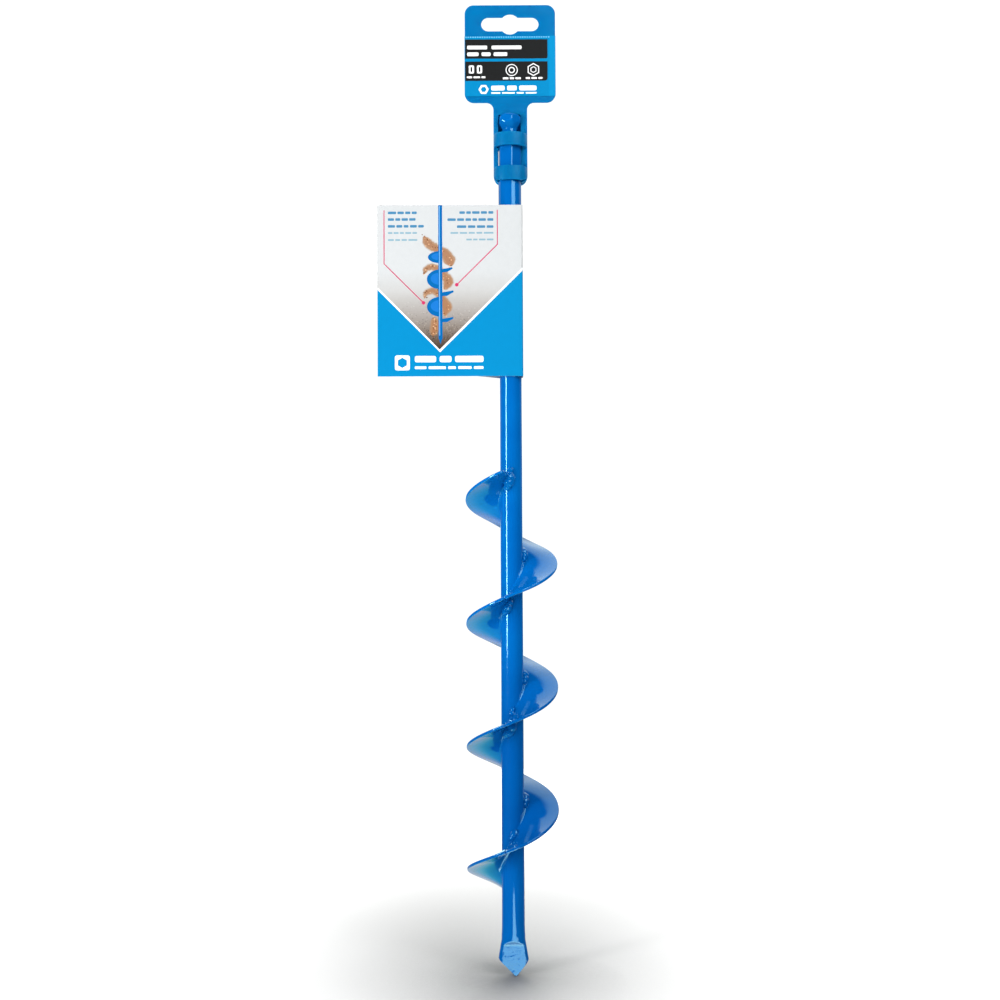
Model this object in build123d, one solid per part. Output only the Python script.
from build123d import *
import math
import os

# Hand-drill garden (soil) auger, about 450 mm long, with the shop's hang tag
# and wrap-round card label still on it. Millimetres, +Z up, point down.
# Origin: on the auger's axis, centre of the hex shank's top end face.
# The side with the label's printed face is -Y, and the flag points to -X.

# ---------------------------------------------------------------- dimensions
OVERALL_L = 450.0        # end of the shank to the point

# hex drive shank, 7/16 in across flats, one edge close to -Y
HEX_AF = 11.1
HEX_LEN = 35.6
HEX_TURN = 8.0           # degrees: the front corner of the hexagon stands a little to the right
HEX_CORNER_R = 6.15      # the corners keep the round of the bar they are milled from
HEX_END_CHAMFER = 1.3
GROOVE_TOP = 3.3         # detent groove for a quick-change chuck
GROOVE_BOTTOM = 16.0
GROOVE_R = 3.9
GROOVE_FLAT_TOP = 7.2
GROOVE_FLAT_BOTTOM = 10.6

# round bar
COLLAR_R = 6.03          # just below the hex
COLLAR_BOTTOM = 60.0
BAR_R = 5.85
BAR_LOW_R = 5.95         # towards the forged point
BAR_TAPER_START = 411.0
BAR_TAPER_END = 424.0

# forged spear point
TIP_FLAT_HALF = 3.2      # half the thickness of the pressed blade
TIP_FLAT_TOP = 433.9
TIP_RAMP_TOP = 430.4
TIP_POINT_X = 1.3        # the point is ground a little off the axis
TIP_SECTIONS = (         # depth, half width, half depth of the swelling section
    (424.0, 5.95, 5.95),
    (428.0, 6.06, 5.95),
    (432.0, 6.28, 5.90),
    (435.0, 6.80, 5.75),
    (438.0, 7.35, 5.50),
    (441.5, 7.76, 5.25),
    (446.0, 7.80, 5.10),
    (452.0, 7.80, 5.00),
)
TIP_LEFT = (-7.70, 441.2)    # where the ground edges leave the blade's sides
TIP_RIGHT = (7.80, 442.2)

# screw flight: right hand, sheet steel, four pieces joined end to end
PITCH = 64.0
FLIGHT_R = 24.0
FLIGHT_BORE_R = 5.88     # the flight is wound to slip over the bar
FLIGHT_Z0 = -187.7       # sheet's middle where it would cross azimuth -90 deg
RIM_T = 1.65             # sheet height at the rim, along the axis (1.5 mm sheet)
ROOT_T = 2.9             # and at the bar, where the sheet runs steeper
FLIGHT_JOINTS = (10.0, 370.0, 730.0, 1090.0, 1239.0)   # degrees down from azimuth -90

# hang tag, moulded plastic, woven over and under the shank
TAG_X = 0.45             # the tag sits this much to one side
TAG_T = 1.2
HEAD_W = 47.9
HEAD_Z0, HEAD_Z1 = 6.9, 59.0
HEAD_R = 4.7
NECK_W = 17.9
NECK_Z0 = -35.7
NECK_FILLET = 3.6
NECK_END_R = 3.4
PASSAGE_HALF = 7.25      # clear half width between the neck's two rails
PASSAGE_TOP = 0.45
ROOF_T = 1.0             # the pocket over the shank's end is closed at the top
FRONT_BANDS = ((-17.5, -10.3), (-35.7, -28.1))
REAR_BANDS = ((-10.3, 0.45), (-28.1, -17.5))
BAND_IN_Y = 6.75
BAND_OUT_Y = 7.75
SLOT_Z = 48.75           # euro slot
SLOT_LEN = 30.4
SLOT_H = 7.4
SLOT_EYE_R = 5.45

# printed sticker, wrapped round the tag's head
STICKER_T = 0.15
STICKER_Z0, STICKER_Z1 = 10.3, 42.4

# card label: one strip folded round the bar, its two leaves glued face to face
LABEL_TOP, LABEL_BOTTOM = -49.0, -138.8
LABEL_LEFT = -69.4
LABEL_LOOP_R = 6.35      # inside of the loop
LABEL_T = 0.2            # one leaf
LABEL_MEET_X = -17.5     # the back leaf meets the front one here
LABEL_CREASE_R = 0.9     # outside of the crease at the front leaf's right edge


def flight_z(T, r=FLIGHT_R):
    return FLIGHT_Z0 - PITCH * T / 360.0


def at(azimuth, r, z):
    a = math.radians(azimuth)
    return (r * math.cos(a), r * math.sin(a), z)


def write(shape, node):
    shape.label = node
    export_step(shape, f"parts/{node}.step")
    print(f"{node:20s} solids {len(shape.solids())}  volume {shape.volume:9.1f}  valid {shape.is_valid}")


def largest(shape, n=1):
    found = sorted(shape.solids(), key=lambda s: -s.volume)[:n]
    return found[0] if n == 1 else Compound(children=found)


os.makedirs("parts", exist_ok=True)

# --------------------------------------------------------------------- shaft
# One solid: hex shank, round bar and forged point are the same bar.
bar_profile = Polyline(
    (0, -(HEX_LEN - 0.6)), (COLLAR_R - 0.35, -(HEX_LEN - 0.6)), (COLLAR_R, -(HEX_LEN + 0.6)),
    (COLLAR_R, -(COLLAR_BOTTOM - 2.0)), (BAR_R, -(COLLAR_BOTTOM + 2.0)),
    (BAR_R, -BAR_TAPER_START), (BAR_LOW_R, -BAR_TAPER_END), (0, -BAR_TAPER_END), close=True)
bar = revolve(Plane.XZ * make_face(bar_profile), Axis.Z)

hex_r = HEX_AF / math.sqrt(3.0)
shank = Pos(0, 0, -HEX_LEN) * extrude(
    make_face(Polyline(*[(hex_r * math.cos(math.radians(a)), hex_r * math.sin(math.radians(a)))
                         for a in (-90 + HEX_TURN, -30 + HEX_TURN, 30 + HEX_TURN,
                                   90 + HEX_TURN, 150 + HEX_TURN, 210 + HEX_TURN)], close=True)), amount=HEX_LEN)
turned = Polyline(
    (0, 0), (HEX_CORNER_R - HEX_END_CHAMFER, 0), (HEX_CORNER_R, -HEX_END_CHAMFER * 1.1),
    (HEX_CORNER_R, -GROOVE_TOP), (GROOVE_R, -GROOVE_FLAT_TOP), (GROOVE_R, -GROOVE_FLAT_BOTTOM),
    (HEX_CORNER_R, -GROOVE_BOTTOM), (HEX_CORNER_R, -HEX_LEN), (0, -HEX_LEN), close=True)
shank = shank & revolve(Plane.XZ * make_face(turned), Axis.Z)

sections = []
for depth, a, b in TIP_SECTIONS:
    sections.append(Pos(0, 0, -depth) * Ellipse(a, b))
blade = loft(sections)
flat_profile = Polyline(
    (TIP_FLAT_HALF, -455), (TIP_FLAT_HALF, -TIP_FLAT_TOP), (TIP_FLAT_HALF + 3.4, -TIP_RAMP_TOP),
    (12, -TIP_RAMP_TOP), (12, -455), close=True)
flat_cut = extrude(Plane.YZ * make_face(flat_profile), amount=15, both=True)
blade = blade - flat_cut - flat_cut.mirror(Plane.XZ)


def beyond(p, q, far):
    return (p[0] + (q[0] - p[0]) * far, p[1] + (q[1] - p[1]) * far)


point = (TIP_POINT_X, -OVERALL_L)
left_up = beyond(point, (TIP_LEFT[0], -TIP_LEFT[1]), 1.6)
right_up = beyond(point, (TIP_RIGHT[0], -TIP_RIGHT[1]), 1.6)
keep = Polyline(point, left_up, (left_up[0], -400), (right_up[0], -400), right_up, close=True)
blade = blade & extrude(Plane.XZ * make_face(keep), amount=12, both=True)

shaft = bar + shank + blade
shaft = largest(shaft)
write(shaft, "shaft")

# ------------------------------------------------------------------- flights
profile = Plane.XZ * make_face(Polyline(
    (FLIGHT_BORE_R, -ROOT_T / 2), (FLIGHT_R, -RIM_T / 2), (FLIGHT_R, RIM_T / 2), (FLIGHT_BORE_R, ROOT_T / 2), close=True))
flights = []
for i in range(4):
    T0, T1 = FLIGHT_JOINTS[i], FLIGHT_JOINTS[i + 1]
    turn = T1 - T0
    path = Helix(pitch=PITCH, height=PITCH * turn / 360.0, radius=15.0)
    piece = sweep(profile, path=path, is_frenet=True)
    piece = Pos(0, 0, flight_z(T1)) * Rot(0, 0, -90.0 - T1) * piece
    piece = largest(piece)
    flights.append(piece)
    write(piece, f"flight_section_{i + 1}")


# --------------------------------------------------------------------- welds
def bead(T, radial, rise, length_deg, r, lumps=3):
    """A short run of weld at the root of the flight: a row of rounded lumps."""
    made = None
    for j in range(lumps):
        s = (j / (lumps - 1) - 0.5) if lumps > 1 else 0.0
        Tj = T + length_deg * s
        x, y, z = at(-90.0 - Tj, radial, flight_z(Tj) + rise)
        ball = Pos(x, y, z) * Sphere(r * (1.0 - 0.18 * abs(s)))
        made = ball if made is None else made + ball
    return made


def trim(shape, n=1):
    shape = shape - shaft
    for f in flights:
        shape = shape - f
    return largest(shape, n)


write(trim(bead(11.0, 6.6, -4.2, 16, 2.6) + bead(12.0, 6.4, -1.1, 10, 2.3)), "top_end_weld")
write(trim(bead(381.0, 6.6, -3.6, 22, 2.3)), "joint_weld_1")
write(trim(bead(730.0, 6.6, -3.8, 22, 2.4)), "joint_weld_2")
write(trim(bead(1078.0, 6.65, 3.1, 19, 2.25)), "joint_weld_3")
write(trim(bead(1237.0, 6.6, -1.9, 14, 2.3)), "bottom_end_weld")
tacks = None
for k in range(3):
    one = trim(bead(258.0 + 360.0 * k, 6.9, 3.0, 20, 2.1))
    tacks = [one] if tacks is None else tacks + [one]
write(Compound(children=tacks), "side_tack_welds")

# ------------------------------------------------------------------ hang tag
head_mid = (HEAD_Z0 + HEAD_Z1) / 2.0
head = Pos(TAG_X, head_mid) * RectangleRounded(HEAD_W, HEAD_Z1 - HEAD_Z0, HEAD_R)
slot = Pos(TAG_X, SLOT_Z) * (SlotOverall(SLOT_LEN, SLOT_H) + Circle(SLOT_EYE_R))
neck_top = HEAD_Z0 + 3.0
neck = Pos(TAG_X, (neck_top + NECK_Z0) / 2) * Rectangle(NECK_W, neck_top - NECK_Z0)
outline = head + neck
# rounded inside corners between head and neck
for side in (-1, 1):
    cx = TAG_X + side * (NECK_W / 2 + NECK_FILLET)
    cz = HEAD_Z0 - NECK_FILLET
    web = Pos(TAG_X + side * (NECK_W / 2 + NECK_FILLET / 2), HEAD_Z0 - NECK_FILLET / 2) * Rectangle(NECK_FILLET, NECK_FILLET)
    outline = outline + (web - Pos(cx, cz) * Circle(NECK_FILLET))
# rounded lower corners of the neck
for side in (-1, 1):
    cx = TAG_X + side * (NECK_W / 2 - NECK_END_R)
    cz = NECK_Z0 + NECK_END_R
    corner = Pos(TAG_X + side * (NECK_W / 2 - NECK_END_R / 2), NECK_Z0 + NECK_END_R / 2) * Rectangle(NECK_END_R, NECK_END_R)
    outline = outline - (corner - Pos(cx, cz) * Circle(NECK_END_R))
outline = outline - slot
passage = Pos(TAG_X, (PASSAGE_TOP + NECK_Z0 - 5) / 2) * Rectangle(2 * PASSAGE_HALF, PASSAGE_TOP - NECK_Z0 + 5)
plate = extrude(Plane.XZ * (outline - passage), amount=TAG_T / 2, both=True)


def band(z0, z1, side):
    """A strap bowed to one side of the shank, joining the neck's two rails."""
    ring = Ellipse(NECK_W / 2, BAND_OUT_Y) - Ellipse(PASSAGE_HALF, BAND_IN_Y)
    ring = ring & (Pos(0, side * 10.0) * Rectangle(40, 20))
    return Pos(TAG_X, 0, z0) * extrude(ring, amount=z1 - z0)


tag = plate
for z0, z1 in FRONT_BANDS:
    tag = tag + band(z0, z1, -1)
for z0, z1 in REAR_BANDS:
    tag = tag + band(z0, z1, 1)
roof = Ellipse(NECK_W / 2, BAND_OUT_Y) & (Pos(0, 10.0) * Rectangle(40, 20))
tag = tag + Pos(TAG_X, 0, PASSAGE_TOP) * extrude(roof, amount=ROOF_T)
# the lowest strap follows the neck's rounded corners
for side in (-1, 1):
    cx = TAG_X + side * (NECK_W / 2 - NECK_END_R)
    cz = NECK_Z0 + NECK_END_R
    corner = Pos(TAG_X + side * (NECK_W / 2 - NECK_END_R / 2 + 1), NECK_Z0 + NECK_END_R / 2 - 1) * Rectangle(NECK_END_R + 2, NECK_END_R + 2)
    corner = corner - Pos(cx, cz) * Circle(NECK_END_R)
    tag = tag - extrude(Plane.XZ * corner, amount=12, both=True)
tag = largest(tag)
write(tag, "hang_tag")

# ------------------------------------------------------------------- sticker
skin = extrude(Plane.XZ * (Pos(TAG_X, head_mid) * RectangleRounded(
    HEAD_W + 2 * STICKER_T, HEAD_Z1 - HEAD_Z0 + 2 * STICKER_T, HEAD_R + STICKER_T)),
    amount=TAG_T / 2 + STICKER_T, both=True)
core = extrude(Plane.XZ * (Pos(TAG_X, head_mid) * RectangleRounded(
    HEAD_W, HEAD_Z1 - HEAD_Z0, HEAD_R)), amount=TAG_T / 2, both=True)
window = Pos(TAG_X, 0, (STICKER_Z0 + STICKER_Z1) / 2) * Box(80, 10, STICKER_Z1 - STICKER_Z0)
sticker = largest((skin - core) & window)
write(sticker, "tag_sticker")

# --------------------------------------------------------------------- label
# Seen from above: the front leaf lies flat against the bar's -Y side, is creased
# at its right, goes round the back of the bar, and comes back to the front leaf,
# glued to it out to the edge.
ri, ro = LABEL_LOOP_R, LABEL_LOOP_R + LABEL_T
yf = -ro                       # outside of the front leaf
ym = -ri                       # inside of the front leaf
# the back leaf leaves the loop tangentially towards the meeting point
mx, my = LABEL_MEET_X, ym


def tangent_angle(r, px, py):
    d = math.hypot(px, py)
    base = math.atan2(py, px)
    return base - math.acos(r / d)


ai = tangent_angle(ri, mx, my)
pi_ = (ri * math.cos(ai), ri * math.sin(ai))
ao = ai
po = (ro * math.cos(ao), ro * math.sin(ao))
dx, dy = mx - pi_[0], my - pi_[1]
L = math.hypot(dx, dy)
dirx, diry = dx / L, dy / L
# outer line of the back leaf runs parallel to the inner one and ends on y = ym + LABEL_T
t_end = (ym + LABEL_T - po[1]) / diry
pe = (po[0] + dirx * t_end, ym + LABEL_T)
k = math.sqrt(0.5)
cr = LABEL_CREASE_R
ci = cr - LABEL_T
cc = ro - cr                   # centre of the crease, at (cc, -cc)
outer_wire = [
    Line((LABEL_LEFT, yf), (cc, yf)),
    ThreePointArc((cc, yf), (cc + cr * k, -cc - cr * k), (ro, -cc)),
    Line((ro, -cc), (ro, 0)),
    ThreePointArc((ro, 0), (ro * k, ro * k), (0, ro)),
    ThreePointArc((0, ro), (ro * math.cos((math.pi / 2 + ao % (2 * math.pi)) / 2),
                            ro * math.sin((math.pi / 2 + ao % (2 * math.pi)) / 2)), po),
    Line(po, pe),
    Line(pe, (LABEL_LEFT, ym + LABEL_T)),
    Line((LABEL_LEFT, ym + LABEL_T), (LABEL_LEFT, yf)),
]
inner_wire = [
    Line((mx, my), (cc, ym)),
    ThreePointArc((cc, ym), (cc + ci * k, -cc - ci * k), (ri, -cc)),
    Line((ri, -cc), (ri, 0)),
    ThreePointArc((ri, 0), (ri * k, ri * k), (0, ri)),
    ThreePointArc((0, ri), (ri * math.cos((math.pi / 2 + ai % (2 * math.pi)) / 2),
                            ri * math.sin((math.pi / 2 + ai % (2 * math.pi)) / 2)), pi_),
    Line(pi_, (mx, my)),
]
section = make_face(Wire(outer_wire)) - make_face(Wire(inner_wire))
label = Pos(0, 0, LABEL_BOTTOM) * extrude(section, amount=LABEL_TOP - LABEL_BOTTOM)
label = largest(label)
write(label, "flag_label")
